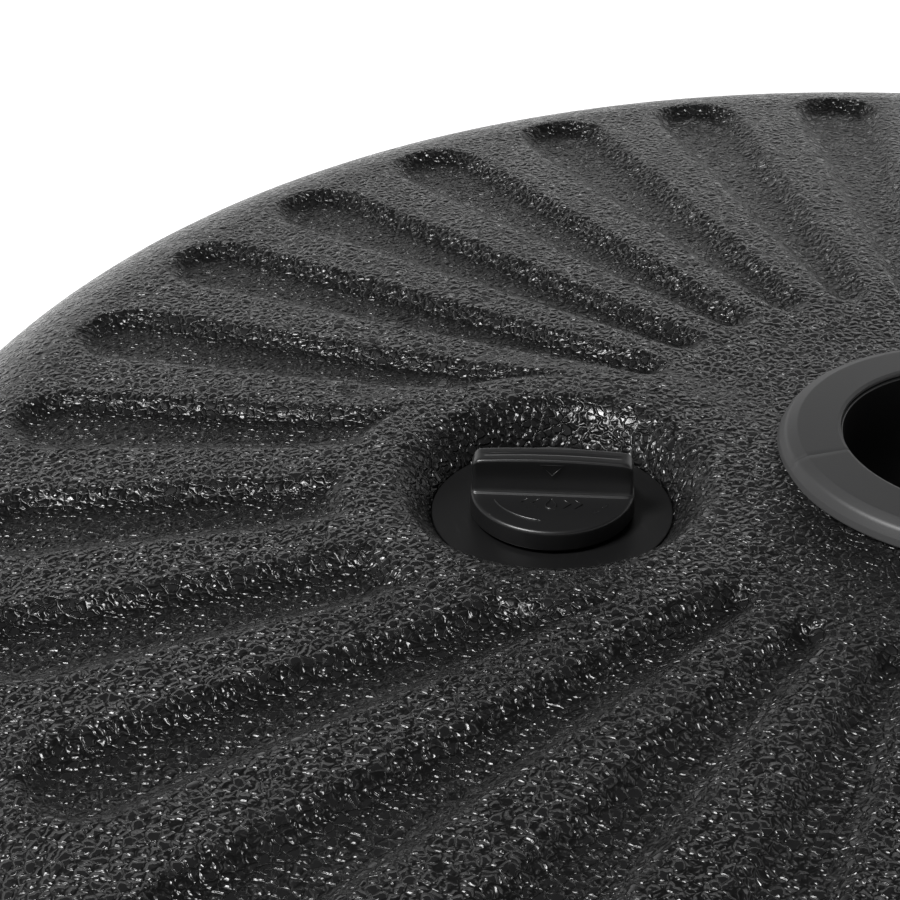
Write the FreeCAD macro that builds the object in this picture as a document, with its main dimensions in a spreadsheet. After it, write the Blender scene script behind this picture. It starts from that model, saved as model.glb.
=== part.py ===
"""Fillable round parasol base: a blow-moulded tank with fluted crown, a screw-capped filler neck
set in a shallow well, and a central socket tube for the pole, clamped through the tank by a nut.

Origin: centre of the base on the floor. +Z is up, and the filler cap lies on the -X side.
"""
import FreeCAD, Part
import os
import re
import Sketcher

Vector = FreeCAD.Vector
Rotation = FreeCAD.Rotation
Placement = FreeCAD.Placement

# ---------------------------------------------------------------- driving dimensions
# Millimetres and degrees. Each one can be changed by itself.
SIZES = {
    # tank
    "base_diameter": 510.0,       # widest outside diameter
    "apex_height": 72.0,          # where the crown's cone would reach the axis, above the floor
    "crown_slope": 1.1,           # fall of the crown towards the rim, degrees
    "rim_round": 40.0,            # big soft rounding between crown and side wall
    "toe_round": 10.0,            # rounding between side wall and underside
    "wall": 3.0,                  # blow-moulded skin
    "stand_off": 2.0,             # the tank rides this far above the floor on its pads
    "ring_width": 34.0,           # standing ring round the underside
    "panel_step": 4.0,            # the underside panel is raised this far inside the ring
    "finger_room": 10.0,          # round the clamping nut, in the underside's recess
    "recess_depth": 19.0,         # from the standing ring up to the recess roof
    # radial flutes pressed into the crown
    "flute_count": 30.0,
    "flute_share": 0.57,          # part of each pitch that is channel, the rest is land
    "flute_depth": 4.0,
    "flute_side_angle": 37.0,     # lean of the channel walls, degrees from upright
    "flute_start": 76.0,          # inner ends, from the axis
    "flute_margin": 38.0,         # outer ends, in from the widest diameter
    # well round the filler
    "well_offset": 94.0,          # filler axis from the base axis
    "well_depth": 7.2,            # crown to the neck's flange
    "well_radius": 25.8,          # at the bottom
    "well_lip_radius": 42.0,      # where its rounded wall runs out into the crown
    "land_radius": 45.0,          # flutes stop at this circle round the well
    # filler neck
    "neck_bore": 13.0,            # radius
    "neck_wall": 2.5,
    "neck_length": 24.0,          # below the flange
    "flange_thickness": 2.5,
    "keeper_radius": 19.0,        # ring that holds the neck from under the skin
    "keeper_thickness": 2.0,
    # screw threads: coarse moulded ribs
    "pitch": 5.0,
    "thread_height": 1.3,
    "thread_clearance": 0.4,      # crest of one thread to the core of its mate
    "thread_root": 2.0,           # rib width at its foot
    "thread_crest": 1.0,          # rib width at its top
    # filler cap
    "cap_radius": 17.6,
    "cap_height": 4.5,            # rim wall of the cap's plate
    "rim_gap": 0.8,               # shadow gap between plate rim and flange
    "plug_length": 14.0,
    "plug_wall": 2.0,
    "plate_thickness": 2.4,       # solid top above the hollow plug
    "wing_thickness": 5.0,
    "wing_setback": 0.5,          # wing's ends in from the plate's rim
    "wing_height": 8.4,
    "wing_angle": -10.5,          # how far the closed wing is turned from the X axis, degrees
    "wing_edge_round": 0.7,
    # seal under the cap
    "seal_inset": 1.6,            # in from the cap's rim
    "seal_thickness": 1.8,
    "seal_gap": 0.05,             # each side of the seal, so that it turns freely
    # socket tube and its collar
    "tube_bore": 30.3,            # radius that takes the pole or its adapter
    "tube_wall": 3.0,
    "tube_foot": 5.0,             # underside of the tube above the floor
    "shoulder_radius": 22.0,      # drain opening in the ledge that the pole stands on
    "shoulder_thickness": 3.0,
    "tube_flange_width": 5.5,
    "tube_flange_thickness": 2.2,
    "collar_width": 5.3,          # reach beyond the tube's flange
    "collar_shoulder": 4.4,       # height and reach of the collar's rounded shoulder
    "collar_crown": 0.7,          # further rise from the shoulder to the bore
    "collar_lip": 1.2,            # thickness of the lip that covers the tube's end
    "collar_overhang": 2.4,       # how far that lip reaches over the tube's wall
    # clamping nut and washer
    "nut_width": 11.0,            # from its threaded bore to its outside
    "nut_height": 10.0,
    "nut_notches": 8.0,
    "notch_radius": 5.0,
    "washer_overhang": 2.0,       # beyond the nut
    "washer_thickness": 1.8,
    # foot pads
    "pad_count": 6.0,
    "pad_radius": 11.0,
    "pad_socket": 1.5,            # how deep each pad sits in the standing ring
    # fits between pieces of the static assembly
    "fit": 0.2,
}

# Sizes that follow from the ones above, kept in the same sheet as formulas.
DERIVED = {
    "rim_radius": "base_diameter / 2",
    "neck_outer": "neck_bore + neck_wall",
    "tube_outer": "tube_bore + tube_wall",
    "tunnel_radius": "tube_outer + thread_height + thread_clearance",
    "seat_height": "apex_height - tunnel_radius * tan(crown_slope * 1 deg)",
    "well_top": "apex_height - well_offset * tan(crown_slope * 1 deg)",
    "flange_top": "well_top - well_depth",
    "well_floor": "flange_top - flange_thickness",
    "thread_start": "flange_top - plug_length + thread_root",
    "plug_radius": "neck_bore - thread_height - thread_clearance",
    "cap_bottom": "flange_top + rim_gap",
    "cap_top": "cap_bottom + cap_height",
    "seal_bottom": "flange_top + seal_gap",
    "seal_top": "seal_bottom + seal_thickness",
    "seal_radius": "cap_radius - seal_inset",
    "tube_flange_radius": "tube_outer + tube_flange_width",
    "collar_inside": "tube_flange_radius + 2 * fit",
    "collar_radius": "collar_inside + collar_width",
    "collar_bottom": "apex_height - collar_inside * tan(crown_slope * 1 deg)",
    "collar_top": "collar_bottom + collar_shoulder + collar_crown",
    "tube_top": "collar_top - collar_lip - fit / 2",
    "recess_roof": "stand_off + recess_depth",
    "nut_top": "recess_roof - washer_thickness",
    "nut_bottom": "nut_top - nut_height",
    "nut_bore": "tube_outer + thread_height + thread_clearance",
    "nut_radius": "nut_bore + nut_width",
    "notch_circle": "nut_radius + notch_radius / 3",
    "washer_radius": "nut_radius + washer_overhang",
    "recess_radius": "nut_radius + finger_room",
    "tube_thread_start": "nut_bottom - thread_root / 2",
    "neck_thread_length": "pitch * 1.4",
    "cap_thread_length": "pitch * 1.6",
    "flute_half_angle": "180 * flute_share / flute_count",
    "flute_inner_centre": "flute_start / (1 - sin(flute_half_angle * 1 deg))",
    "flute_outer_centre": "(rim_radius - flute_margin) / (1 + sin(flute_half_angle * 1 deg))",
    "flute_run": "flute_depth * tan(flute_side_angle * 1 deg)",
    "pad_circle": "rim_radius - toe_round - (ring_width - toe_round) / 2",
}

FLUTE_OVERREACH = 0.5    # how far a channel's cutting shape stands above the surface it cuts
CLEAR_ABOVE = 20.0       # how far other cutting shapes stand above the crown
LIP_LEAN = 1.0           # how far the well's cutting shape rises between its lip and the land
ABOVE_PLATE = 1.0        # edges higher than this over the cap's plate belong to the wing's top
ROOT_EMBED = 0.4         # how deep a thread's foot is sunk into its cylinder

doc = FreeCAD.newDocument("ParasolBase")
sheet = doc.addObject("Spreadsheet::Sheet", "Sizes")


def fill_sheet():
    """Write the driving numbers, then the formulas that follow from them."""
    for row, (name, number) in enumerate(SIZES.items(), start=1):
        sheet.set("A%d" % row, name)
        sheet.set("B%d" % row, str(number))
        sheet.setAlias("B%d" % row, name)
    doc.recompute()
    for row, (name, formula) in enumerate(DERIVED.items(), start=len(SIZES) + 1):
        sheet.set("A%d" % row, name)
        sheet.set("B%d" % row, "=" + formula)
        sheet.setAlias("B%d" % row, name)
        doc.recompute()


def bound(formula):
    """A formula in sheet names, spelt the way an expression outside the sheet needs it."""

    def spelt(match):
        word = match.group()
        return "Sizes." + word if word in SIZES or word in DERIVED else word

    return re.sub(r"[a-z_]+", spelt, formula)


def number(formula):
    """The present value of a formula in sheet names."""
    result = sheet.evalExpression(bound(formula))
    return float(getattr(result, "Value", result))


# ---------------------------------------------------------------- helpers
def origin_feature(body, role):
    return [item for item in body.Origin.OriginFeatures if item.Role == role][0]


def new_body(label):
    body = doc.addObject("PartDesign::Body", label)
    body.Label = label
    return body


def new_sketch(body, name, role):
    sketch = body.newObject("Sketcher::SketchObject", name)
    sketch.AttachmentSupport = [(origin_feature(body, role), "")]
    sketch.MapMode = "FlatFace"
    return sketch


def pin_point(sketch, geometry, point, x, y):
    """Hold one point of a sketch at two formulas, measured from the sketch's origin."""
    for kind, axis, formula in (("DistanceX", -2, x), ("DistanceY", -1, y)):
        if formula == "0":
            sketch.addConstraint(Sketcher.Constraint("PointOnObject", geometry, point, axis))
            continue
        constraint = Sketcher.Constraint(kind, -1, 1, geometry, point, number(formula))
        index = sketch.addConstraint(constraint)
        sketch.setExpression("Constraints[%d]" % index, bound(formula))


def outline(sketch, corners, arcs=()):
    """A closed outline through corners given as formulas. A side listed in arcs is an arc whose
    centre lies straight below its upper end, the end given there (1 its start, 2 its end)."""
    places = [Vector(number(x), number(y), 0) for x, y in corners]
    arcs = dict(arcs)
    count = len(places)
    for side in range(count):
        start = places[side]
        end = places[(side + 1) % count]
        if side in arcs:
            top = start if arcs[side] == 1 else end
            low = end if arcs[side] == 1 else start
            drop = ((top.x - low.x) ** 2 + (top.y - low.y) ** 2) / (2 * (top.y - low.y))
            circle = Part.Circle(Vector(top.x, top.y - drop, 0), Vector(0, 0, 1), drop)
            sweep = sorted((circle.parameter(start), circle.parameter(end)))
            sketch.addGeometry(Part.ArcOfCircle(circle, *sweep))
        else:
            sketch.addGeometry(Part.LineSegment(start, end))
    ends = [end_points(sketch.Geometry[side], places[side]) for side in range(count)]
    for side in range(count):
        following = (side + 1) % count
        link = Sketcher.Constraint("Coincident", side, ends[side][1], following, ends[following][0])
        sketch.addConstraint(link)
        pin_point(sketch, side, ends[side][0], *corners[side])
        if side in arcs:
            tangent_end = ends[side][arcs[side] - 1]
            level = Sketcher.Constraint("Vertical", side, 3, side, tangent_end)
            sketch.addConstraint(level)


def end_points(curve, start):
    """Which of a curve's two point numbers is its start: arcs always run anticlockwise."""
    if curve.StartPoint.distanceToPoint(start) < 1e-6:
        return 1, 2
    return 2, 1


def revolve(body, name, corners, arcs=()):
    """A solid of revolution about the body's Z axis from corners (radius, height)."""
    sketch = new_sketch(body, name + "_outline", "XZ_Plane")
    outline(sketch, corners, arcs)
    turned = body.newObject("PartDesign::Revolution", name)
    turned.Profile = sketch
    turned.ReferenceAxis = (sketch, ["V_Axis"])
    turned.Angle = 360
    doc.recompute()
    return turned


def circle_edges(shape, radius, height):
    """Names of a shape's circular edges about Z with this radius at this height."""
    names = []
    for index, edge in enumerate(shape.Edges, start=1):
        if not isinstance(edge.Curve, Part.Circle):
            continue
        same_size = abs(edge.Curve.Radius - radius) < 1e-4
        if same_size and abs(edge.Curve.Center.z - height) < 1e-4:
            names.append("Edge%d" % index)
    return names


def fillet(body, base, edges, formula):
    rounding = body.newObject("PartDesign::Fillet", base.Name + "_round")
    rounding.Base = (base, edges)
    rounding.setExpression("Radius", bound(formula))
    doc.recompute()
    return rounding


def thread(body, name, core, inward, start, length):
    """A helical rib on a cylinder of radius core, standing outwards, or inwards inside a bore."""
    side = "-" if inward else "+"
    back = "+" if inward else "-"
    root = "%s %s %s" % (core, back, ROOT_EMBED)
    crest = "%s %s thread_height" % (core, side)
    sketch = new_sketch(body, name + "_section", "XZ_Plane")
    outline(sketch, [
        (root, start + " - thread_root / 2"),
        (crest, start + " - thread_crest / 2"),
        (crest, start + " + thread_crest / 2"),
        (root, start + " + thread_root / 2"),
    ])
    rib = body.newObject("PartDesign::AdditiveHelix", name)
    rib.Profile = sketch
    rib.ReferenceAxis = (sketch, ["V_Axis"])
    rib.Mode = "pitch-height-angle"
    rib.setExpression("Pitch", bound("pitch"))
    rib.setExpression("Height", bound(length))
    doc.recompute()
    return rib


def polar_pattern(body, feature, count):
    pattern = body.newObject("PartDesign::PolarPattern", feature.Name + "_ring")
    pattern.Originals = [feature]
    pattern.Axis = (origin_feature(body, "Z_Axis"), [""])
    pattern.Angle = 360
    pattern.setExpression("Occurrences", bound(count))
    body.Tip = pattern
    doc.recompute()
    return pattern


def cut(label, base, tool):
    result = doc.addObject("Part::Cut", label)
    result.Label = label
    result.Base = base
    result.Tool = tool
    doc.recompute()
    return result


def cylinder(label, radius, height, x, z):
    solid = doc.addObject("Part::Cylinder", label)
    solid.setExpression("Radius", bound(radius))
    solid.setExpression("Height", bound(height))
    solid.setExpression("Placement.Base.x", bound(x))
    solid.setExpression("Placement.Base.z", bound(z))
    return solid


def crown(radius, inset):
    """Height of the crown's cone at a radius, lowered by the inset."""
    return "apex_height - (%s) * tan(crown_slope * 1 deg) - %s" % (radius, inset)


# ---------------------------------------------------------------- tank
def tank_form(label, inset):
    """The tank's turned form, or the hollow inside it when the inset is the wall thickness."""
    body = new_body(label)
    tunnel = "tunnel_radius + " + inset
    side = "rim_radius - " + inset
    ring = "rim_radius - ring_width + " + inset
    recess = "recess_radius + " + inset
    floor = "stand_off + " + inset
    panel = "stand_off + panel_step + " + inset
    roof = "recess_roof + " + inset
    turned = revolve(body, label + "_turned", [
        (tunnel, roof),
        (recess, roof),
        (recess, panel),
        (ring, panel),
        (ring, floor),
        (side, floor),
        (side, crown(side, inset)),
        (tunnel, crown(tunnel, inset)),
    ])
    toe = circle_edges(turned.Shape, number(side), number(floor))
    rounded = fillet(body, turned, toe, "toe_round - " + inset)
    rim = circle_edges(rounded.Shape, number(side), number(crown(side, inset)))
    fillet(body, rounded, rim, "rim_round - " + inset)
    return body


def flute_cutters(label, inset):
    """All the flutes as cutting shapes: wedges with round ends on a floor that follows the crown."""
    body = new_body(label)
    sketch = new_sketch(body, label + "_floor", "XY_Plane")
    sketch.AttachmentOffset = Placement(Vector(), Rotation(Vector(0, 1, 0), 1))
    sketch.setExpression("AttachmentOffset.Base.z", bound("apex_height - flute_depth - " + inset))
    sketch.setExpression("AttachmentOffset.Rotation.Angle", bound("crown_slope"))
    inner = number("flute_inner_centre")
    outer = number("flute_outer_centre")
    lean = number("sin(flute_half_angle * 1 deg)")
    across = number("cos(flute_half_angle * 1 deg)")
    less = "flute_run - " + inset
    ends = {centre: centre * lean - number(less) for centre in (inner, outer)}

    def touch(centre, sign):
        return Vector(centre - ends[centre] * lean, sign * ends[centre] * across, 0)

    far = Part.Circle(Vector(outer, 0, 0), Vector(0, 0, 1), ends[outer])
    near = Part.Circle(Vector(inner, 0, 0), Vector(0, 0, 1), ends[inner])
    left = sketch.addGeometry(Part.LineSegment(touch(inner, 1), touch(outer, 1)))
    sweep = far.parameter(touch(outer, 1))
    head = sketch.addGeometry(Part.ArcOfCircle(far, -sweep, sweep))
    right = sketch.addGeometry(Part.LineSegment(touch(outer, -1), touch(inner, -1)))
    sweep = near.parameter(touch(inner, 1))
    tail = sketch.addGeometry(Part.ArcOfCircle(near, sweep, -sweep))
    for one, end, two, start in (
        (left, 2, head, 2), (head, 1, right, 1), (right, 2, tail, 2), (tail, 1, left, 1),
    ):
        sketch.addConstraint(Sketcher.Constraint("Tangent", one, end, two, start))
    for arc, centre in ((head, "flute_outer_centre"), (tail, "flute_inner_centre")):
        pin_point(sketch, arc, 3, centre, "0")
        index = sketch.addConstraint(Sketcher.Constraint("Radius", arc, ends[number(centre)]))
        radius = "%s * sin(flute_half_angle * 1 deg) - flute_run + %s" % (centre, inset)
        sketch.setExpression("Constraints[%d]" % index, bound(radius))
    wedge = body.newObject("PartDesign::Pad", label + "_wedge")
    wedge.Profile = sketch
    wedge.setExpression("Length", bound("flute_depth + %s" % FLUTE_OVERREACH))
    wedge.setExpression("TaperAngle", bound("flute_side_angle"))
    doc.recompute()
    polar_pattern(body, wedge, "flute_count")
    return body


def well_cutter(label, inset):
    """The filler well as a cutting shape about its own axis."""
    body = new_body(label)
    revolve(body, label + "_turned", [
        ("0", "well_floor - " + inset),
        ("well_radius + " + inset, "well_floor - " + inset),
        ("well_radius + " + inset, "flange_top - %s / 2" % inset),
        ("well_lip_radius", "well_top - " + inset),
        ("land_radius", "well_top + %s - %s" % (LIP_LEAN, inset)),
        ("land_radius", "well_top + %s" % CLEAR_ABOVE),
        ("0", "well_top + %s" % CLEAR_ABOVE),
    ], arcs={2: 2})
    body.setExpression("Placement.Base.x", bound("0 - well_offset"))
    return body


def fluted_form(label, inset):
    """The turned form with its flutes pressed in, stopped short of the well, and the well itself."""
    form = tank_form(label + "_form", inset)
    channels = flute_cutters(label + "_channels", inset)
    keep = cylinder(label + "_land", "land_radius - " + inset, "apex_height", "0 - well_offset", "stand_off")
    trimmed = cut(label + "_flutes", channels, keep)
    fluted = cut(label + "_fluted", form, trimmed)
    return cut(label + "_with_well", fluted, well_cutter(label + "_well", inset))


def make_tank():
    outside = fluted_form("outside", "0")
    hollow = fluted_form("inside", "wall")
    shell = cut("shell", outside, hollow)
    neck_hole = cylinder("neck_hole", "neck_outer", "apex_height", "0 - well_offset", "recess_roof")
    open_shell = cut("open_shell", shell, neck_hole)
    pockets = new_body("pad_pockets")
    sketch = new_sketch(pockets, "pad_pocket_circle", "XY_Plane")
    circle = Part.Circle(Vector(number("pad_circle"), 0, 0), Vector(0, 0, 1), number("pad_radius"))
    sketch.addGeometry(circle)
    pin_point(sketch, 0, 3, "pad_circle", "0")
    index = sketch.addConstraint(Sketcher.Constraint("Radius", 0, number("pad_radius + fit")))
    sketch.setExpression("Constraints[%d]" % index, bound("pad_radius + fit"))
    pocket = pockets.newObject("PartDesign::Pad", "pad_pocket")
    pocket.Profile = sketch
    pocket.setExpression("Length", bound("stand_off + pad_socket"))
    doc.recompute()
    polar_pattern(pockets, pocket, "pad_count")
    return cut("tank", open_shell, pockets)


# ---------------------------------------------------------------- filler
def make_filler_neck():
    """Moulded-in neck: flange on the well's floor, threaded barrel, and a keeper under the skin."""
    body = new_body("filler_neck")
    skin_under = "well_floor - wall"
    keeper_under = "well_floor - wall - keeper_thickness"
    end = "well_floor - neck_length"
    revolve(body, "neck_turned", [
        ("neck_bore", end),
        ("neck_outer", end),
        ("neck_outer", keeper_under),
        ("keeper_radius", keeper_under),
        ("keeper_radius", skin_under),
        ("neck_outer", skin_under),
        ("neck_outer", "well_floor"),
        ("well_radius - fit", "well_floor"),
        ("well_radius - fit", "flange_top"),
        ("neck_bore", "flange_top"),
    ])
    thread(body, "neck_thread", "neck_bore", True, "thread_start + pitch / 2", "neck_thread_length")
    body.setExpression("Placement.Base.x", bound("0 - well_offset"))
    return body


def make_filler_cap():
    """Round plate with a hollow threaded plug below and a wing grip across its top."""
    body = new_body("filler_cap")
    inside = "plug_radius - plug_wall"
    ceiling = "cap_top - plate_thickness"
    plug_end = "flange_top - plug_length"
    groove = "seal_top + seal_gap"
    revolve(body, "cap_turned", [
        ("0", ceiling),
        (inside, ceiling),
        (inside, plug_end),
        ("plug_radius", plug_end),
        ("plug_radius", groove),
        ("seal_radius + fit", groove),
        ("seal_radius + fit", "cap_bottom"),
        ("cap_radius", "cap_bottom"),
        ("cap_radius", "cap_top"),
        ("0", "cap_top"),
    ])
    thread(body, "cap_thread", "plug_radius", False, "thread_start", "cap_thread_length")
    sketch = new_sketch(body, "wing_outline", "XY_Plane")
    sketch.AttachmentOffset = Placement(Vector(), Rotation(Vector(0, 0, 1), 1))
    sketch.setExpression("AttachmentOffset.Base.z", bound("cap_top"))
    sketch.setExpression("AttachmentOffset.Rotation.Angle", bound("wing_angle"))
    reach = "cap_radius - wing_setback"
    half = "wing_thickness / 2"
    outline(sketch, [
        ("0 - cap_radius + wing_setback", "0 - " + half),
        (reach, "0 - " + half),
        (reach, half),
        ("0 - cap_radius + wing_setback", half),
    ])
    wing = body.newObject("PartDesign::Pad", "wing")
    wing.Profile = sketch
    wing.setExpression("Length", bound("wing_height"))
    doc.recompute()
    level = number("cap_top")
    above = [
        "Edge%d" % index
        for index, edge in enumerate(wing.Shape.Edges, start=1)
        if edge.BoundBox.ZMax > level + ABOVE_PLATE
    ]
    fillet(body, wing, above, "wing_edge_round")
    body.setExpression("Placement.Base.x", bound("0 - well_offset"))
    return body


def make_cap_gasket():
    """Flat ring in the groove under the cap's plate, sealing on the neck's flange."""
    body = new_body("cap_gasket")
    inner = "plug_radius + 2 * fit"
    revolve(body, "gasket_turned", [
        (inner, "seal_bottom"),
        ("seal_radius", "seal_bottom"),
        ("seal_radius", "seal_top"),
        (inner, "seal_top"),
    ])
    body.setExpression("Placement.Base.x", bound("0 - well_offset"))
    return body


# ---------------------------------------------------------------- pole socket
def make_socket_tube():
    """Tube through the tank: flange on the crown, ledge for the pole at its foot, thread outside."""
    body = new_body("socket_tube")
    flange_top = "seat_height + tube_flange_thickness"
    ledge = "tube_foot + shoulder_thickness"
    revolve(body, "tube_turned", [
        ("shoulder_radius", "tube_foot"),
        ("tube_outer", "tube_foot"),
        ("tube_outer", "seat_height"),
        ("tube_flange_radius", "seat_height"),
        ("tube_flange_radius", flange_top),
        ("tube_outer", flange_top),
        ("tube_outer", "tube_top"),
        ("tube_bore", "tube_top"),
        ("tube_bore", ledge),
        ("shoulder_radius", ledge),
    ])
    thread(body, "tube_thread", "tube_outer", False, "tube_thread_start", "nut_height + pitch / 2")
    return body


def make_collar():
    """Ring pressed over the tube's flange, with a rounded shoulder and a lip over the tube's end."""
    body = new_body("collar")
    under_lip = "collar_top - collar_lip"
    ceiling = "seat_height + tube_flange_thickness + fit"
    shoulder_top = "collar_bottom + collar_shoulder"
    mouth = "tube_outer - collar_overhang"
    revolve(body, "collar_turned", [
        ("collar_inside", "collar_bottom"),
        ("collar_radius", "collar_bottom"),
        ("collar_radius - collar_shoulder", shoulder_top),
        (mouth, "collar_top"),
        (mouth, under_lip),
        ("tube_outer + fit", under_lip),
        ("tube_outer + fit", ceiling),
        ("collar_inside", ceiling),
    ], arcs={1: 2})
    return body


def make_socket_nut():
    """Ring nut under the tank with finger notches, pulling the tube's flange down on the crown."""
    body = new_body("socket_nut")
    revolve(body, "nut_turned", [
        ("nut_bore", "nut_bottom"),
        ("nut_radius", "nut_bottom"),
        ("nut_radius", "nut_top"),
        ("nut_bore", "nut_top"),
    ])
    start = "tube_thread_start + pitch / 2"
    rib = thread(body, "nut_thread", "nut_bore", True, start, "nut_height - pitch / 2 - thread_root")
    sketch = new_sketch(body, "notch_circle", "XY_Plane")
    circle = Part.Circle(Vector(number("nut_radius"), 0, 0), Vector(0, 0, 1), number("notch_radius"))
    sketch.addGeometry(circle)
    pin_point(sketch, 0, 3, "notch_circle", "0")
    index = sketch.addConstraint(Sketcher.Constraint("Radius", 0, number("notch_radius")))
    sketch.setExpression("Constraints[%d]" % index, bound("notch_radius"))
    notch = body.newObject("PartDesign::Pocket", "notch")
    notch.Profile = sketch
    notch.Reversed = True
    notch.setExpression("Length", bound("recess_roof"))
    doc.recompute()
    if notch.Shape.Volume > rib.Shape.Volume - 1:
        raise RuntimeError("the nut's notch cuts nothing")
    polar_pattern(body, notch, "nut_notches")
    return body


def make_nut_washer():
    """Rubber ring between the nut and the roof of the tank's recess."""
    body = new_body("nut_washer")
    revolve(body, "washer_turned", [
        ("nut_bore", "nut_top"),
        ("washer_radius", "nut_top"),
        ("washer_radius", "recess_roof"),
        ("nut_bore", "recess_roof"),
    ])
    return body


# ---------------------------------------------------------------- feet
def make_foot_pads():
    """Rubber discs let into the standing ring at even spacing."""
    pads = []
    for index in range(int(SIZES["pad_count"])):
        label = "foot_pad_%d" % (index + 1)
        pad = cylinder(label, "pad_radius", "stand_off + pad_socket", "0", "0")
        angle = "%d * 360 / pad_count * 1 deg" % index
        pad.setExpression("Placement.Base.x", bound("pad_circle * cos(%s)" % angle))
        pad.setExpression("Placement.Base.y", bound("pad_circle * sin(%s)" % angle))
        pad.Label = label
        pads.append(pad)
    return pads


# ---------------------------------------------------------------- build, check and write
def check(pieces):
    """Every object computed, and every piece one valid solid."""
    for item in doc.Objects:
        if "Invalid" in item.State or "Error" in item.State:
            raise RuntimeError("%s is %s" % (item.Label, item.State))
    for piece in pieces:
        shape = piece.Shape
        if shape.isNull() or not shape.isValid() or len(shape.Solids) != 1:
            raise RuntimeError("%s is not one valid solid" % piece.Label)


def main():
    fill_sheet()
    pieces = [
        make_tank(),
        make_filler_neck(),
        make_filler_cap(),
        make_cap_gasket(),
        make_socket_tube(),
        make_collar(),
        make_socket_nut(),
        make_nut_washer(),
        *make_foot_pads(),
    ]
    doc.recompute()
    check(pieces)
    os.makedirs("parts", exist_ok=True)
    for piece in pieces:
        piece.Shape.exportStep(os.path.join("parts", piece.Label + ".step"))
        box = piece.Shape.BoundBox
        print("%-14s %9.0f mm3  z %6.2f to %6.2f" % (piece.Label, piece.Shape.Volume, box.ZMin, box.ZMax))


main()
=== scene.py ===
# %% [markdown]
# # A fillable round parasol base
#
# A shallow black tank, half a metre across, that is filled with water or sand and holds a parasol's pole.
# Its skin is one blow moulding with thirty shallow flutes on top. A screw cap with a wing grip closes the
# filler, and a smooth collar dresses the socket in the middle. The lesson builds each moulding from
# its maker's sizes, in millimetres, and puts it in the frame that the CAD model gives, in metres.

# %% Frame
import bpy
import math
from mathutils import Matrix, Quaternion, Vector
from mathutils.geometry import delaunay_2d_cdt


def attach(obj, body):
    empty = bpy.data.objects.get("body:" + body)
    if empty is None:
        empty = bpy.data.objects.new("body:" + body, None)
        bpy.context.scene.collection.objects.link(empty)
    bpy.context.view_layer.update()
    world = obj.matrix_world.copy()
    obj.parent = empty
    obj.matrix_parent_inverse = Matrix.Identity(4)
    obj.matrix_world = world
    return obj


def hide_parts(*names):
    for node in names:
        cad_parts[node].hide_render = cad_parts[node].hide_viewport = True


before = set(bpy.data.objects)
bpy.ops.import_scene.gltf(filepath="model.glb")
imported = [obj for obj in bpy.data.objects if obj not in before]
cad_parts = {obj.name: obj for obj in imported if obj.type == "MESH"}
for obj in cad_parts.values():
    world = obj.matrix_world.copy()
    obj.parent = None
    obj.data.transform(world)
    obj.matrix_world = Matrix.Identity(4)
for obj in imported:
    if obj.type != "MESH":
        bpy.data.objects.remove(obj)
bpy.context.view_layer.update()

MM = 0.001

# %% [markdown]
# ## Tools of the workshop
#
# Most of these mouldings are turned forms. A workshop draws half of the section, rounds each corner with
# a stated radius, and turns it about the axis. A real mould has no sharp corner, because plastic
# doesn't fill one, so every corner here gets a radius. Two narrow bands beside each rounding keep the
# flats looking flat when the shading is smooth.

# %% Turned forms
def soften(corners, steps=5, closed=True):
    """A section whose corners, each (across, up, radius), are replaced with arcs and their side bands."""
    path, count = [], len(corners)
    for index, (across, up, radius) in enumerate(corners):
        here = Vector((across, up))
        if not radius or (not closed and index in (0, count - 1)):
            path.append(here)
            continue
        back = Vector(corners[index - 1][:2]) - here
        ahead = Vector(corners[(index + 1) % count][:2]) - here
        half = back.angle(ahead) / 2
        reach = radius / math.tan(half)
        centre = here + (back.normalized() + ahead.normalized()).normalized() * radius / math.sin(half)
        start = here + back.normalized() * reach
        end = here + ahead.normalized() * reach
        first = math.atan2(start.y - centre.y, start.x - centre.x)
        last = math.atan2(end.y - centre.y, end.x - centre.x)
        sweep = (last - first + math.pi) % (2 * math.pi) - math.pi
        if reach + radius / 2 < back.length / 2:
            path.append(start + back.normalized() * radius / 2)
        for step in range(steps + 1):
            turn = first + sweep * step / steps
            path.append(centre + radius * Vector((math.cos(turn), math.sin(turn))))
        if reach + radius / 2 < ahead.length / 2:
            path.append(end + ahead.normalized() * radius / 2)
    return path


def circle(radius, count, middle=0.0, shift=0.0):
    """Evenly spaced points of a circle in plan, about an axis that stands `middle` along X."""
    turns = [2 * math.pi * (index + shift) / count for index in range(count)]
    return [Vector((middle + radius * math.cos(turn), radius * math.sin(turn))) for turn in turns]


def bridge(faces, one, two):
    """Faces between two rings. The first ring may have twice as many points as the second."""
    count = len(two)
    for index in range(count):
        after = (index + 1) % count
        if len(one) == count:
            faces.append((one[index], one[after], two[after], two[index]))
        else:
            middle, end = one[2 * index + 1], one[(2 * index + 2) % len(one)]
            faces.append((one[2 * index], middle, two[index]))
            faces.append((middle, two[after], two[index]))
            faces.append((middle, end, two[after]))


def turned(path, count, closed=True):
    """A section turned about Z. The section runs so that its outside is on its right-hand side."""
    points, faces, rings = [], [], []
    for across, up in path:
        if across < 1e-6:
            rings.append([len(points)] * count)
            points.append(Vector((0, 0, up)))
        else:
            rings.append(list(range(len(points), len(points) + count)))
            points += [Vector((*spot, up)) for spot in circle(across, count)]
    pairs = list(zip(rings, rings[1:]))
    if closed:
        pairs.append((rings[-1], rings[0]))
    for one, two in pairs:
        bridge(faces, one, two)
    return points, [tuple(dict.fromkeys(face)) for face in faces]


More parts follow.
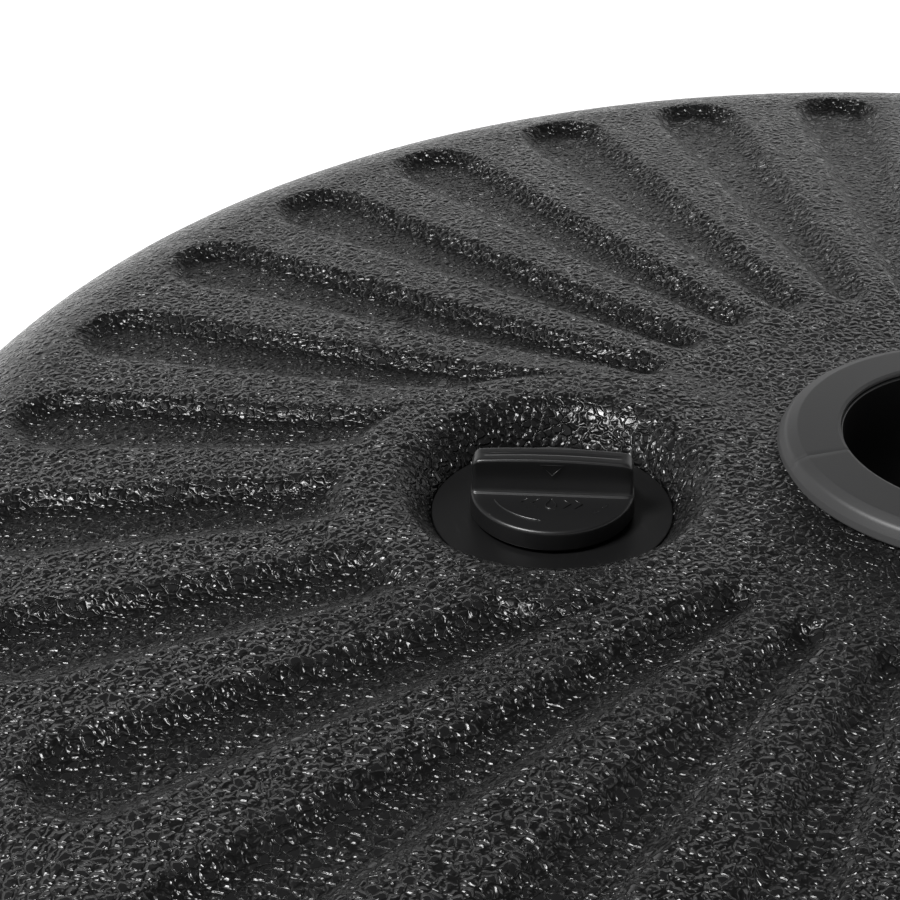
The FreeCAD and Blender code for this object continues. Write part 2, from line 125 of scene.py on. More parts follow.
def stacked(loops):
    """A closed form from loops of points, from its bottom to its top, with both ends filled."""
    points, faces, count = [], [], len(loops[0])
    for loop in loops:
        points += loop
    rings = [list(range(level * count, (level + 1) * count)) for level in range(len(loops))]
    for one, two in zip(rings, rings[1:]):
        bridge(faces, one, two)
    for ring, order in ((rings[0], -1), (rings[-1], 1)):
        middle = sum((points[index] for index in ring), Vector()) / count
        hub = len(points)
        points.append(middle)
        for index in range(count):
            faces.append((ring[index], ring[(index + 1) % count], hub)[::order])
    return points, faces


def moved(form, shift=(0, 0, 0), turn=0.0):
    """A form turned about Z by so many degrees and then shifted."""
    spin = Quaternion((0, 0, 1), math.radians(turn))
    return [spin @ point + Vector(shift) for point in form[0]], form[1]


def moulding(name, *forms):
    """One smooth-shaded object from forms in millimetres."""
    points, faces = [], []
    for spots, sides in forms:
        faces += [tuple(index + len(points) for index in side) for side in sides]
        points += spots
    mesh = bpy.data.meshes.new(name)
    mesh.from_pydata([point * MM for point in points], [], faces)
    mesh.shade_smooth()
    made = bpy.data.objects.new(name, mesh)
    bpy.context.scene.collection.objects.link(made)
    return made


def settle(made):
    """What an object's node tree has made becomes its own plain mesh, and the tree is taken off."""
    now = bpy.context.evaluated_depsgraph_get()
    mesh = bpy.data.meshes.new_from_object(made.evaluated_get(now), depsgraph=now)
    made.modifiers.clear()
    made.data = mesh
    mesh.shade_smooth()
    return made


print("workshop ready:", len(soften([(10, 0, 1), (20, 0, 1), (20, 5, 1), (10, 5, 1)])), "points in a softened bar")

# %% [markdown]
# Some shapes are rules and not sections: the flutes pressed into the tank, the ribs of the threads, the
# pads on their circle. Those are node trees. Sums are long to write node by node, so this helper writes
# one Math node for each sum and gives back its result, and it serves finishes as well.

# %% Sums in node trees
def sums(tree):
    """Gives a function that adds one Math node to the tree and returns its result."""
    def work(operation, *values):
        node = tree.nodes.new("ShaderNodeMath")
        node.operation = operation
        for socket, value in zip(node.inputs, values):
            if isinstance(value, bpy.types.NodeSocket):
                tree.links.new(value, socket)
            else:
                socket.default_value = value
        return node.outputs[0]
    return work


def ease(tree, value, low, high, start=0.0, end=1.0):
    """A smooth step from start to end while the value goes from low to high."""
    node = tree.nodes.new("ShaderNodeMapRange")
    node.interpolation_type = "SMOOTHSTEP"
    for name, item in (("Value", value), ("From Min", low), ("From Max", high), ("To Min", start), ("To Max", end)):
        if isinstance(item, bpy.types.NodeSocket):
            tree.links.new(item, node.inputs[name])
        else:
            node.inputs[name].default_value = item
    return node.outputs["Result"]


def press(name, sockets):
    """A geometry tree with a mesh in, a mesh out and the named number sockets."""
    tree = bpy.data.node_groups.new(name, "GeometryNodeTree")
    tree.interface.new_socket("Geometry", in_out="INPUT", socket_type="NodeSocketGeometry")
    for label, kind in sockets:
        tree.interface.new_socket(label, in_out="INPUT", socket_type="NodeSocket" + kind)
    tree.interface.new_socket("Geometry", in_out="OUTPUT", socket_type="NodeSocketGeometry")
    return tree, tree.nodes.new("NodeGroupInput"), tree.nodes.new("NodeGroupOutput")


def finish_tree(tree, geometry, given, result):
    """The tree's last nodes: real geometry, with its material."""
    real = tree.nodes.new("GeometryNodeRealizeInstances")
    dress = tree.nodes.new("GeometryNodeSetMaterial")
    tree.links.new(geometry, real.inputs[0])
    tree.links.new(real.outputs[0], dress.inputs["Geometry"])
    tree.links.new(given.outputs["Material"], dress.inputs["Material"])
    tree.links.new(dress.outputs[0], result.inputs[0])


def run(made, tree, **values):
    """Puts the tree on an object with these inputs, and settles the result."""
    modifier = made.modifiers.new(tree.name, "NODES")
    modifier.node_group = tree
    for item in tree.interface.items_tree:
        label = item.name.replace(" ", "_")
        if item.in_out == "INPUT" and label in values:
            modifier[item.identifier] = values[label]
    return settle(made)


print("node helpers ready")

# %% [markdown]
# ## The finishes
#
# Everything is polypropylene or rubber in nearly the same black, so the surfaces tell them apart. The
# tank's mould is etched with a leather grain: flat islands about two millimetres across with narrow,
# worm-like grooves between them. The islands are satin and the grooves are where light is lost or
# caught. The grain is a wavy cell pattern, and the distance to a cell's edge makes the groove.
# Each effect is one group, so that all the materials share it. The grooves are also darkened in the base colour, as
# painted shade.

# %% Shared effects
GRAIN_CELL, GROOVE_WIDTH = 0.0021, 0.36  # an island in metres, and its groove as a share of the island


def effect(name, numbers, results):
    """A shader group with a Vector, the named numbers and the named results."""
    group = bpy.data.node_groups.new(name, "ShaderNodeTree")
    group.interface.new_socket("Vector", in_out="INPUT", socket_type="NodeSocketVector")
    for label, value in numbers.items():
        socket = group.interface.new_socket(label, in_out="INPUT", socket_type="NodeSocketFloat")
        socket.default_value = value
    for label in results:
        group.interface.new_socket(label, in_out="OUTPUT", socket_type="NodeSocketFloat")
    return group, group.nodes.new("NodeGroupInput"), group.nodes.new("NodeGroupOutput")


def noise(tree, vector, scale, detail=2.0, roughness=0.5):
    node = tree.nodes.new("ShaderNodeTexNoise")
    node.inputs["Detail"].default_value = detail
    node.inputs["Roughness"].default_value = roughness
    tree.links.new(vector, node.inputs["Vector"])
    if isinstance(scale, bpy.types.NodeSocket):
        tree.links.new(scale, node.inputs["Scale"])
    else:
        node.inputs["Scale"].default_value = scale
    return node


def cells(tree, vector, scale, feature):
    node = tree.nodes.new("ShaderNodeTexVoronoi")
    node.feature = feature
    tree.links.new(vector, node.inputs["Vector"])
    if isinstance(scale, bpy.types.NodeSocket):
        tree.links.new(scale, node.inputs["Scale"])
    else:
        node.inputs["Scale"].default_value = scale
    return node


def leather_grain():
    """Flat islands with narrow, worm-like grooves between them. Cell is an island's size in metres."""
    numbers = {"Cell": GRAIN_CELL, "Groove": GROOVE_WIDTH, "Waviness": 0.22}
    group, given, result = effect("Leather grain", numbers, ["Height", "Groove"])
    work = sums(group)
    scale = work("DIVIDE", 1.0, given.outputs["Cell"])
    ripple = noise(group, given.outputs["Vector"], work("MULTIPLY", scale, 1.1), 1.0)
    centred = group.nodes.new("ShaderNodeVectorMath")
    centred.operation = "SUBTRACT"
    centred.inputs[1].default_value = (0.5, 0.5, 0.5)
    group.links.new(ripple.outputs["Color"], centred.inputs[0])
    stretch = group.nodes.new("ShaderNodeVectorMath")
    stretch.operation = "SCALE"
    group.links.new(centred.outputs[0], stretch.inputs[0])
    reach = work("MULTIPLY", work("MULTIPLY", given.outputs["Cell"], given.outputs["Waviness"]), 4.0)
    group.links.new(reach, stretch.inputs["Scale"])
    bent = group.nodes.new("ShaderNodeVectorMath")
    bent.operation = "ADD"
    group.links.new(given.outputs["Vector"], bent.inputs[0])
    group.links.new(stretch.outputs[0], bent.inputs[1])
    edge = cells(group, bent.outputs[0], scale, "DISTANCE_TO_EDGE").outputs["Distance"]
    broken = noise(group, given.outputs["Vector"], work("MULTIPLY", scale, 0.55), 1.0).outputs["Fac"]
    width = work("MULTIPLY", given.outputs["Groove"], ease(group, broken, 0.36, 0.52, 0.4, 1.0))
    island = ease(group, edge, 0.0, width)
    fine = noise(group, given.outputs["Vector"], work("MULTIPLY", scale, 5.0), 2.0).outputs["Fac"]
    height = work("ADD", island, work("MULTIPLY", fine, 0.03))
    group.links.new(height, result.inputs["Height"])
    group.links.new(work("SUBTRACT", 1.0, island), result.inputs["Groove"])
    return group


def dust():
    """Bright specks of lint and dust, and hairline rubs."""
    group, given, result = effect("Dust and rubs", {"Spacing": 0.0035, "Amount": 0.12}, ["Specks", "Rubs"])
    work = sums(group)
    spots = cells(group, given.outputs["Vector"], work("DIVIDE", 1.0, given.outputs["Spacing"]), "F1")
    chance = group.nodes.new("ShaderNodeSeparateColor")
    group.links.new(spots.outputs["Color"], chance.inputs[0])
    picked = work("LESS_THAN", chance.outputs[0], given.outputs["Amount"])
    size = work("MULTIPLY", chance.outputs[1], 0.05)
    near = ease(group, spots.outputs["Distance"], 0.01, work("ADD", 0.015, size), 1.0, 0.0)
    group.links.new(work("MULTIPLY", near, picked), result.inputs["Specks"])
    wander = noise(group, given.outputs["Vector"], 60.0, 1.0)
    thread = group.nodes.new("ShaderNodeTexWave")
    thread.inputs["Scale"].default_value = 90.0
    thread.inputs["Distortion"].default_value = 25.0
    thread.inputs["Detail"].default_value = 2.0
    group.links.new(given.outputs["Vector"], thread.inputs["Vector"])
    line = ease(group, thread.outputs["Fac"], 0.97, 1.0)
    here = ease(group, wander.outputs["Fac"], 0.56, 0.66)
    group.links.new(work("MULTIPLY", line, here), result.inputs["Rubs"])
    return group


GRAIN = leather_grain()
DUST = dust()
LINT = (0.2, 0.195, 0.185)


def finish(name, colour, roughness, grain=0.0, micro=0.00001, micro_size=0.0005, specks=0.1, patch=0.06):
    """A moulded plastic or rubber: etched grain, fine surface noise, dust and rubs over one base colour, and painted
    shade that darkens the grain's grooves.
    """
    material = bpy.data.materials.new(name)
    material.use_nodes = True
    tree = material.node_tree
    tree.nodes.clear()
    work = sums(tree)
    place = tree.nodes.new("ShaderNodeTexCoord").outputs["Object"]
    shader = tree.nodes.new("ShaderNodeBsdfPrincipled")
    output = tree.nodes.new("ShaderNodeOutputMaterial")
    tree.links.new(shader.outputs[0], output.inputs[0])
    lint = tree.nodes.new("ShaderNodeGroup")
    lint.node_tree = DUST
    lint.inputs["Amount"].default_value = specks
    tree.links.new(place, lint.inputs["Vector"])
    fine = noise(tree, place, 1.0 / micro_size, 3.0, 0.6).outputs["Fac"]
    wide = noise(tree, place, 22.0, 3.0, 0.6).outputs["Fac"]
    height = work("MULTIPLY", fine, micro)
    shade = work("ADD", roughness, work("MULTIPLY", work("SUBTRACT", wide, 0.5), 2 * patch))
    tone = tree.nodes.new("ShaderNodeMix")
    tone.data_type = "RGBA"
    tone.inputs["A"].default_value = (*colour, 1.0)
    tone.inputs["B"].default_value = (*LINT, 1.0)
    marks = work("ADD", work("MULTIPLY", lint.outputs["Specks"], 0.8), work("MULTIPLY", lint.outputs["Rubs"], 0.02))
    if grain:
        etched = tree.nodes.new("ShaderNodeGroup")
        etched.node_tree = GRAIN
        etched.inputs["Cell"].default_value = GRAIN_CELL
        etched.inputs["Groove"].default_value = GROOVE_WIDTH
        tree.links.new(place, etched.inputs["Vector"])
        height = work("ADD", height, work("MULTIPLY", etched.outputs["Height"], grain))
        # painted shade: the base colour is darkened in each groove, where hardly any light comes back out
        painted_groove_shade = tree.nodes.new("ShaderNodeMix")
        painted_groove_shade.data_type = "RGBA"
        painted_groove_shade.inputs["A"].default_value = (*colour, 1.0)
        painted_groove_shade.inputs["B"].default_value = (*(0.15 * part for part in colour), 1.0)
        tree.links.new(etched.outputs["Groove"], painted_groove_shade.inputs["Factor"])
        tree.links.new(painted_groove_shade.outputs["Result"], tone.inputs["A"])
        shade = work("ADD", shade, work("MULTIPLY", etched.outputs["Groove"], 0.1))
    tree.links.new(marks, tone.inputs["Factor"])
    tree.links.new(tone.outputs["Result"], shader.inputs["Base Color"])
    tree.links.new(work("ADD", shade, work("MULTIPLY", lint.outputs["Rubs"], 0.04)), shader.inputs["Roughness"])
    bump = tree.nodes.new("ShaderNodeBump")
    bump.inputs["Distance"].default_value = 1.0
    tree.links.new(height, bump.inputs["Height"])
    tree.links.new(bump.outputs[0], shader.inputs["Normal"])
    return material


GRAINED = finish("Grained polypropylene", (0.009, 0.009, 0.0092), 0.22, grain=0.00034, specks=0.02)
SATIN = finish("Satin polypropylene", (0.03, 0.03, 0.0305), 0.46, micro=0.00002, specks=0.2)
CAP = finish("Cap polypropylene", (0.009, 0.009, 0.0093), 0.34, micro_size=0.0007, specks=0.16)
SMOOTH = finish("Smooth polypropylene", (0.007, 0.007, 0.0072), 0.3, micro=0.000008, specks=0.05)
RUBBER = finish("Black rubber", (0.014, 0.0138, 0.0135), 0.62, micro=0.00003, micro_size=0.0009)
print("finishes:", [material.name for material in bpy.data.materials])


def place(made, body, slot, material, *nodes):
    """The piece stands for these CAD nodes, on their body. It and the nodes take this finish."""
    if not made.data.materials:
        made.data.materials.append(material)
    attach(made, body)
    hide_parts(*nodes)
    for node in nodes:
        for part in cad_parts[node].material_slots:
            part.material = material
    print("%-14s %6d faces" % (made.name, len(made.data.polygons)))
    return made


# %% [markdown]
# ## The tank
#
# The tank is one blown skin, three millimetres thick. Its crown falls about one degree from the socket to
# a big soft rim. The blank is that turned form with nothing pressed in yet: points lie on circles about
# the base's axis, closer together where a flute begins or ends, and on circles about the filler's axis
# near the well. Joining them as one even net of triangles lets both sets of circles meet cleanly.

# %% Tank blank
APEX, SLOPE, RIM, ROUND, TOE = 72.0, math.radians(1.1), 254.8, 40.0, 10.0
TUNNEL, STAND, PANEL, ROOF, RECESS = 35.0, 2.0, 6.0, 21.0, 56.0
FILLER, HOLE, WELL, LIP, FLOOR = -94.0, 15.6, 25.9, 44.0, 60.495
SEAT_DROP = 1.1
LAND_EDGE = 52.0  # inside this the points lie on circles about the filler
CROWN_EDGE = 219.5  # beyond this the rim is turned and nothing is pressed into it
SKIN_TO_INSIDE = 7.4  # from the plain crown down to the inside of the skin, clear of every flute


def crown_height(radius):
    """Height of the plain crown, which turns down into the rim's rounding."""
    start = RIM - ROUND + ROUND * math.sin(SLOPE)
    if radius <= start:
        return APEX - radius * math.tan(SLOPE)
    level = APEX - start * math.tan(SLOPE) - ROUND * math.cos(SLOPE)
    return level + math.sqrt(ROUND ** 2 - (radius - RIM + ROUND) ** 2)


def even(low, high, step):
    count = max(1, round((high - low) / step))
    return [low + (high - low) * index / count for index in range(count)]


def net(rings):
    """Triangles over circles of points, (radius, count, middle). Gives points, faces, and each circle's points."""
    spots, owners = [], []
    for number, (radius, count, middle) in enumerate(rings):
        # every second circle is turned by half a step, but not those that other forms join
        shift = 0.5 if number % 2 and middle == 0 and number != len(rings) - 1 else 0.0
        for spot in circle(radius, count, middle, shift):
            inside = (spot - Vector((FILLER, 0))).length
            if middle == 0 and radius > TUNNEL and inside < LAND_EDGE:
                continue
            spots.append(spot)
            owners.append(number)
    found, _, faces, sources, *_ = delaunay_2d_cdt(spots, [], [], 0, 1e-6)
    home = {source[0]: index for index, source in enumerate(sources) if source}
    members = {}
    for spot, owner in enumerate(owners):
        members.setdefault(owner, []).append(home[spot])
    holes = [set(members[0]), set(members[1])]
    kept = [face for face in faces if not any(hole.issuperset(face) for hole in holes)]
    return found, kept, members


def tank_blank():
    """Outer skin, inner skin and the edge of the filler's hole, as one closed shell."""
    grid = [(TUNNEL, 360, 0.0), (HOLE, 240, FILLER), (20.5, 240, FILLER), (WELL - 0.05, 240, FILLER)]
    grid += [(radius, 240, FILLER) for radius in even(WELL, LIP, 0.95)]
    grid += [(radius, 240, FILLER) for radius in even(LIP, 51.5, 0.95)]
    grid += [(radius, 360, 0.0) for radius in even(38.0, 71.0, 3.0)]
    grid += [(radius, 720, 0.0) for radius in even(71.0, 94.0, 1.3)]
    grid += [(radius, 720, 0.0) for radius in even(94.0, 198.0, 4.3)]
    grid += [(radius, 720, 0.0) for radius in even(198.0, CROWN_EDGE, 1.35) + [CROWN_EDGE]]
    spots, faces, members = net(grid)
    points = [Vector((*spot, crown_height(spot.length))) for spot in spots]
    crown = [1.0] * len(points)
    faces = [tuple(face) for face in faces]
    join = {}

    def ring(radius, height, count):
        first = len(points)
        points.extend(Vector((*spot, height)) for spot in circle(radius, count))
        crown.extend([0.0] * count)
        return list(range(first, first + count))

    # rim, side and underside, from the crown's last circle to the tunnel's top
    level = crown_height(RIM - ROUND) - ROUND
    side = [(RIM - ROUND + ROUND * math.sin(turn), level + ROUND * math.cos(turn))
            for turn in (math.asin((CROWN_EDGE - RIM + ROUND) / ROUND) * (1 - part) + math.pi / 2 * part
                         for part in (index / 18 for index in range(1, 19)))]
    # the two halves of the mould meet here and leave a fine flash line
    side += [(RIM, 24.4), (RIM + 0.2, 24.0), (RIM + 0.2, 23.6), (RIM, 23.2)]
    foot = soften([
        (RIM, 20.0, 0), (RIM, STAND, TOE), (221.0, STAND, 1.2), (221.0, PANEL, 1.5), (200.0, PANEL, 0)], 6, False)
    side += [tuple(spot) for spot in foot[1:-1]]
    last = members[len(grid) - 1]
    for radius, height in side:
        after = ring(radius, height, 720)
        bridge(faces, after, last)
        last = after
    under = soften([
        (216.0, PANEL, 0), (170.0, PANEL, 0), (110.0, PANEL, 0), (RECESS, PANEL, 2.0), (RECESS, ROOF, 1.5),
        (TUNNEL, ROOF, 0), (TUNNEL, 30.0, 0), (TUNNEL, 60.0, 0)], 4, False)
    for radius, height in under:
        after = ring(radius, height, 360)
        if len(last) == 720:
            fan = []
            bridge(fan, last, after)
            faces += [face[::-1] for face in fan]
        else:
            bridge(faces, after, last)
        last = after
    bridge(faces, members[0], last)
    # the inside of the skin, plainer because only its edge at the filler can ever be seen
    inner = [(TUNNEL + 3, 180, 0.0), (HOLE, 240, FILLER), (22.0, 120, FILLER), (31.0, 120, FILLER), (46.0, 120, FILLER)]
    inner += [(radius, 180, 0.0) for radius in (48, 58, 70, 90, 110, 130, 150, 175, 200, RIM - ROUND)]
    spots, lids, owned = net(inner)
    start = len(points)
    for spot in spots:
        away = (spot - Vector((FILLER, 0))).length
        dip = min(1.0, max(0.0, (46.0 - away) / 15.0))
        points.append(Vector((*spot, (crown_height(spot.length) - SKIN_TO_INSIDE) * (1 - dip) + (FLOOR - 3.0) * dip)))
        crown.append(0.0)
    faces += [tuple(start + index for index in face)[::-1] for face in lids]
    last = [start + index for index in owned[len(inner) - 1]]
    inside = [(RIM - ROUND + 26 * math.sin(turn), level - 3 + 36 * math.cos(turn)) for turn in (0.4, 0.8, 1.2)]
    inside += [(RIM - 3, level), (RIM - 3, 15), (RIM - 8, 7), (RIM - 14, 5), (218, 5), (216, 9),
               (RECESS + 3, 9), (RECESS + 3, ROOF + 3), (TUNNEL + 3, ROOF + 3)]
    for radius, height in inside:
        after = ring(radius, height, 180)
        bridge(faces, last, after)
        last = after
    bridge(faces, last, [start + index for index in owned[0]])
    bridge(faces, members[1], [start + index for index in owned[1]])
    made = moulding("Tank", (points, faces))
    made.data.attributes.new("crown", "FLOAT", "POINT").data.foreach_set("value", crown)
    return made


tank = tank_blank()
print("tank blank:", len(tank.data.vertices), "points")

# %% [markdown]
# The press then gives the crown its shape. Each point is folded into half of one pitch, so one flute
# stands for all thirty. A flute is the outline round two circles, a small one near the socket and a big
# one near the rim, joined by straight sides, and the distance to that outline tells how deep the
# point is pressed. The same tree keeps a plain land round the well, and sinks the well with a steep
# wall that rolls over into the crown. Every size is an input, so a maker can try another number of flutes.

# %% Pressing the flutes and the well
def flute_press():
    tree, given, result = press("Flutes and well", [
        ("Flutes", "Float"), ("Half Angle", "Float"), ("Inner End", "Float"), ("Outer End", "Float"),
        ("Depth", "Float"), ("Wall", "Float"), ("Filler", "Float"), ("Land", "Float"),
        ("Land Rise", "Float"), ("Well", "Float"), ("Lip Round", "Float"), ("Well Floor", "Float"),
        ("Wall Foot", "Float"), ("Wall Slope", "Float"),
        ("Seat Drop", "Float"), ("Material", "Material")])
    size = {socket.name: socket for socket in given.outputs}
    work = sums(tree)
    where = tree.nodes.new("GeometryNodeInputPosition")
    split = tree.nodes.new("ShaderNodeSeparateXYZ")
    tree.links.new(where.outputs[0], split.inputs[0])
    x, y, z = (work("DIVIDE", split.outputs[axis], MM) for axis in range(3))

    def length(one, two):
        return work("SQRT", work("ADD", work("MULTIPLY", one, one), work("MULTIPLY", two, two)))

    radius = length(x, y)
    pitch = work("DIVIDE", 2 * math.pi, size["Flutes"])
    half = work("MULTIPLY", pitch, 0.5)
    fold = work("ABSOLUTE", work("WRAP", work("ARCTAN2", y, x), half, work("MULTIPLY", half, -1.0)))
    along = work("MULTIPLY", radius, work("COSINE", fold))
    aside = work("MULTIPLY", radius, work("SINE", fold))
    angle = work("RADIANS", size["Half Angle"])
    lean, upright = work("SINE", angle), work("COSINE", angle)
    inner = work("DIVIDE", size["Inner End"], work("SUBTRACT", 1.0, lean))
    outer = work("DIVIDE", size["Outer End"], work("ADD", 1.0, lean))
    travel = work("ADD", work("MULTIPLY", along, upright), work("MULTIPLY", aside, lean))
    straight = work("SUBTRACT", work("MULTIPLY", aside, upright), work("MULTIPLY", along, lean))
    away = straight
    for centre, beyond in ((inner, "LESS_THAN"), (outer, "GREATER_THAN")):
        around = work("SUBTRACT", length(work("SUBTRACT", along, centre), aside), work("MULTIPLY", centre, lean))
        here = work(beyond, travel, work("MULTIPLY", centre, upright))
        away = work("ADD", away, work("MULTIPLY", here, work("SUBTRACT", around, straight)))
    from_filler = length(work("SUBTRACT", x, size["Filler"]), y)
    away = work("SMOOTH_MAX", away, work("SUBTRACT", size["Land"], from_filler), 1.5)
    edge = work("MULTIPLY", size["Wall"], -0.8)
    sunk = ease(tree, away, edge, work("MULTIPLY", size["Wall"], 0.2), 1.0, 0.0)
    top = work("SUBTRACT", z, work("MULTIPLY", sunk, size["Depth"]))
    land_end = work("ADD", size["Land"], 16.0)
    top = work("ADD", top, ease(tree, from_filler, size["Land"], land_end, size["Land Rise"], 0.0))
    top = work("SUBTRACT", top, ease(tree, radius, 48.0, 88.0, size["Seat Drop"], 0.0))
    climb = work("MULTIPLY", work("SUBTRACT", from_filler, size["Well"]), size["Wall Slope"])
    top = work("SMOOTH_MIN", top, work("ADD", size["Wall Foot"], climb), size["Lip Round"])
    inside = work("LESS_THAN", from_filler, work("SUBTRACT", size["Well"], 0.02))
    top = work("ADD", top, work("MULTIPLY", inside, work("SUBTRACT", size["Well Floor"], top)))
    mark = tree.nodes.new("GeometryNodeInputNamedAttribute")
    mark.data_type = "FLOAT"
    mark.inputs["Name"].default_value = "crown"
    shift = work("MULTIPLY", work("MULTIPLY", work("SUBTRACT", top, z), mark.outputs["Attribute"]), MM)
    offset = tree.nodes.new("ShaderNodeCombineXYZ")
    tree.links.new(shift, offset.inputs["Z"])
    move = tree.nodes.new("GeometryNodeSetPosition")
    tree.links.new(given.outputs["Geometry"], move.inputs["Geometry"])
    tree.links.new(offset.outputs[0], move.inputs["Offset"])
    finish_tree(tree, move.outputs[0], given, result)
    return tree


run(tank, flute_press(), Flutes=30.0, Half_Angle=3.42, Inner_End=76.0, Outer_End=217.0, Depth=2.3,
    Wall=5.6, Filler=FILLER, Land=45.0, Land_Rise=1.0, Well=WELL, Lip_Round=6.5, Well_Floor=FLOOR,
    Wall_Foot=62.6, Wall_Slope=1.2,
    Seat_Drop=SEAT_DROP, Material=GRAINED)
place(tank, "base", "grained_plastic", GRAINED, "tank")

# %% [markdown]
# ## Threads
#
# Moulded bottle threads are coarse ribs of trapezoid section with a run-out at each end. The tree winds a
# spiral, sweeps the section along it and shrinks it at both ends. The cap's plug, the neck, the tube and
# its nut all take theirs from the same tree.

# %% Thread ribs
def thread_tree():
    tree, given, result = press("Thread rib", [
        ("Radius", "Float"), ("Length", "Float"), ("Pitch", "Float"), ("Root", "Float"), ("Crest", "Float"),
        ("Height", "Float"), ("Material", "Material")])
    work = sums(tree)
    size = {socket.name: socket for socket in given.outputs}
    spiral = tree.nodes.new("GeometryNodeCurveSpiral")
    spiral.inputs["Resolution"].default_value = 96
    spiral.inputs["Reverse"].default_value = True
    tree.links.new(work("DIVIDE", size["Length"], size["Pitch"]), spiral.inputs["Rotations"])
    for end in ("Start Radius", "End Radius"):
        tree.links.new(work("MULTIPLY", size["Radius"], MM), spiral.inputs[end])
    tree.links.new(work("MULTIPLY", size["Length"], MM), spiral.inputs["Height"])
    upright = tree.nodes.new("GeometryNodeSetCurveNormal")
    upright.mode = "Z_UP"
    tree.links.new(spiral.outputs[0], upright.inputs["Curve"])
    factor = tree.nodes.new("GeometryNodeSplineParameter").outputs["Factor"]
    run_in = ease(tree, factor, 0.0, 0.06, 0.15, 1.0)
    run_out = ease(tree, factor, 0.94, 1.0, 1.0, 0.15)
    section = tree.nodes.new("GeometryNodeCurvePrimitiveQuadrilateral")
    section.mode = "TRAPEZOID"
    tree.links.new(work("MULTIPLY", size["Height"], MM), section.inputs["Height"])
    tree.links.new(work("MULTIPLY", size["Root"], MM), section.inputs["Bottom Width"])
    tree.links.new(work("MULTIPLY", size["Crest"], MM), section.inputs["Top Width"])
    section.inputs["Offset"].default_value = 0.0
    turn = tree.nodes.new("GeometryNodeTransform")
    turn.inputs["Rotation"].default_value = (0.0, 0.0, math.radians(90.0))
    tree.links.new(section.outputs[0], turn.inputs["Geometry"])
    sweep = tree.nodes.new("GeometryNodeCurveToMesh")
    sweep.inputs["Fill Caps"].default_value = True
    tree.links.new(upright.outputs[0], sweep.inputs["Curve"])
    tree.links.new(turn.outputs[0], sweep.inputs["Profile Curve"])
    tree.links.new(work("MULTIPLY", run_in, run_out), sweep.inputs["Scale"])
    finish_tree(tree, sweep.outputs[0], given, result)
    return tree


THREAD = thread_tree()


def thread(radius, bottom, length, inward=False):
    """A thread rib as a form in millimetres, on the outside or the inside of a wall of that radius."""
    side = -1 if inward else 1
    made = moulding("rib", ([], []))
    run(made, THREAD, Radius=radius + side * 0.45, Length=length, Pitch=5.0, Root=2.0, Crest=1.0,
        Height=side * 1.7, Material=RUBBER)
    points = [vertex.co / MM + Vector((0, 0, bottom)) for vertex in made.data.vertices]
    faces = [tuple(face.vertices) for face in made.data.polygons]
    bpy.data.objects.remove(made)
    return points, faces


reaches = [point.xy.length for point in thread(11.3, 51.0, 8.0)[0]]
print("thread rib radii, mm:", round(min(reaches), 2), round(max(reaches), 2))

# %% [markdown]
# ## The filler
#
# The neck is a separate moulding: a smooth flange on the well's floor, a threaded barrel, and a keeper
# ring under the skin. It is glossier than the tank because its mould isn't etched. The seal is a flat
# rubber ring that lies in a groove under the cap.

# %% Neck and seal
neck_section = soften([
    (13.0, 36.5, 0.4), (15.5, 36.5, 0.4), (15.5, 55.495, 0), (19.0, 55.495, 0.4), (19.0, 57.495, 0.4),
    (15.5, 57.495, 0), (15.5, FLOOR, 0), (25.8, FLOOR, 0.2), (25.8, 62.995, 0.25), (13.0, 62.995, 0.5)])
neck = moulding("Filler_neck", moved(turned(neck_section, 192), (FILLER, 0, 0)),
                moved(thread(13.0, 53.5, 7.0, inward=True), (FILLER, 0, 0)))
place(neck, "base", "smooth_plastic", SMOOTH, "filler_neck")

seal_section = soften([(11.7, 63.045, 0.4), (16.0, 63.045, 0.4), (16.0, 64.845, 0.4), (11.7, 64.845, 0.4)])
seal = moulding("Cap_seal", moved(turned(seal_section, 128), (FILLER, 0, 0)))
place(seal, "seal", "rubber", RUBBER, "cap_gasket")

# %% [markdown]
# The cap is one moulding: a round plate, a wing to turn it by, and a hollow plug with the thread. The
# wing is waisted, crowned along its top and rounded at the corners, so it is built as a stack of its
# own outlines. The small raised marks, a turning arc, dashes and a drop between arrows, are beads on the plate.

# %% Cap
PLATE = 68.295
CAP_TURN = -10.5


